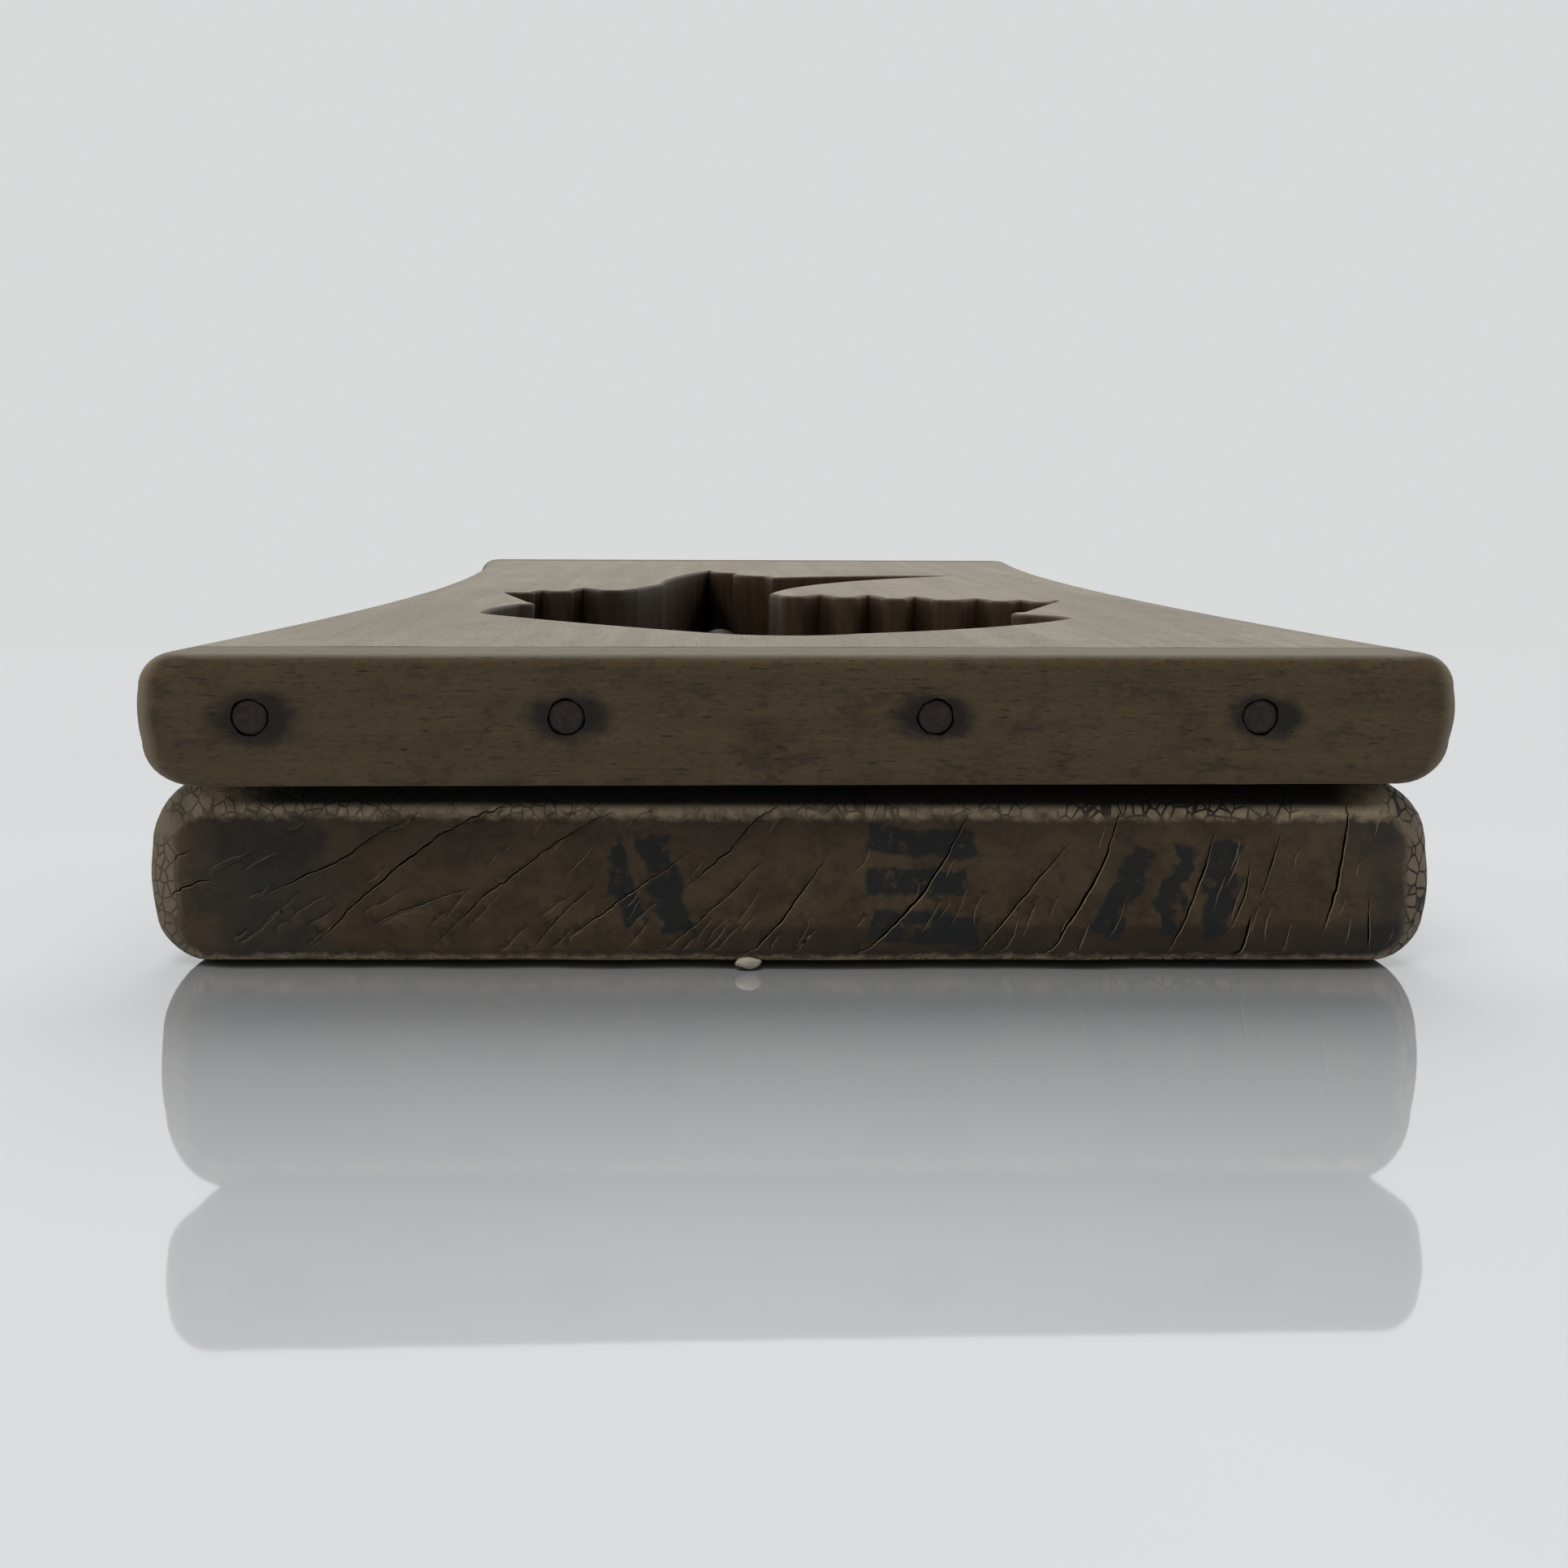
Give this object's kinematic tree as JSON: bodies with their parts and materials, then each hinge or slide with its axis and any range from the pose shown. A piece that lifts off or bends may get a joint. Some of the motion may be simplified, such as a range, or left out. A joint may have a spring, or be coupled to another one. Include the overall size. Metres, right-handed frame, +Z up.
{
  "type": "wooden sweet mould",
  "caption": "Two-board carved wooden sweet mould: a pierced frame board with nailed end cleats lifts off the thick carved block below it.",
  "frame": {"origin": "middle of the underside of the carved block", "axes": "+X to the right seen from the nailed front end, +Y from that end to the rear, +Z up"},
  "size_m": [0.1726, 0.342, 0.043],
  "materials": {
    "frame_wood": "worn bare hardwood, weathered to grey-brown on its face and dark brown inside the cut-out",
    "cleat": "worn bare hardwood with iron stains round its nails",
    "block_wood": "worn bare hardwood, checked on its end grain",
    "nail": "rusted wrought iron, flush with the wood",
    "peg": "whittled bamboo"
  },
  "bodies": {
    "block": {"carved_block": "block_wood", "front_left_peg": "peg", "front_right_peg": "peg", "rear_left_peg": "peg", "rear_right_peg": "peg"},
    "frame": {"frame_board": "frame_wood", "front_cleat": "cleat", "rear_cleat": "cleat", "front_nail_1": "nail", "front_nail_2": "nail", "front_nail_3": "nail", "front_nail_4": "nail", "rear_nail_1": "nail", "rear_nail_2": "nail", "rear_nail_3": "nail", "rear_nail_4": "nail"}
  },
  "joints": [
    {"name": "frame_lift", "type": "slide", "parent": "block", "child": "frame", "axis": [0, 0, 1], "range_m": [0, 0.06]}
  ]
}
